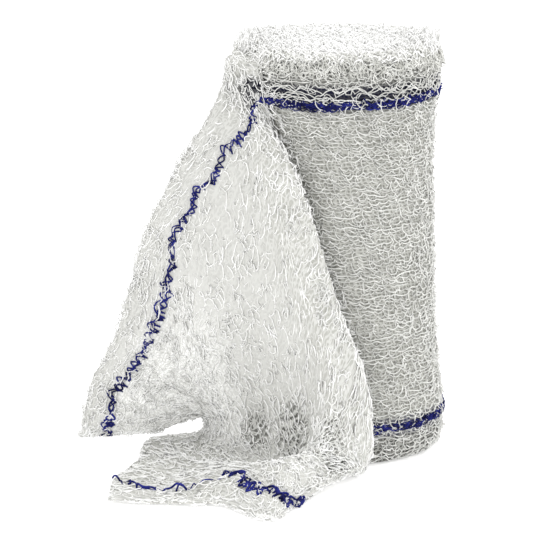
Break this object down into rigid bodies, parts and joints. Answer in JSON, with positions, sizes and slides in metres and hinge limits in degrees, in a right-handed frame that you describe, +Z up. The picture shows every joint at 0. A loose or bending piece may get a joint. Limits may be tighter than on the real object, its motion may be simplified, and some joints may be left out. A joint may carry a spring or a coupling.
{
  "type": "crepe bandage",
  "caption": "Woven stretch crepe bandage with coloured edge threads, standing on end as a roll, its last turn pulled loose and draped beside it on the surface.",
  "frame": {"origin": "centre of the face the roll stands on", "axes": "+Z up along the roll, -Y towards the viewer of the picture, the loose end lying towards -X and -Y"},
  "size_m": [0.0894, 0.0979, 0.1001],
  "materials": {
    "wound_crepe": "matt open crepe weave, off-white, with two dark blue thread lines",
    "draped_crepe": "matt open crepe weave, off-white, with two dark blue thread lines"
  },
  "bodies": {
    "root": {"roll": "wound_crepe", "loose_end": "draped_crepe"}
  },
  "joints": []
}
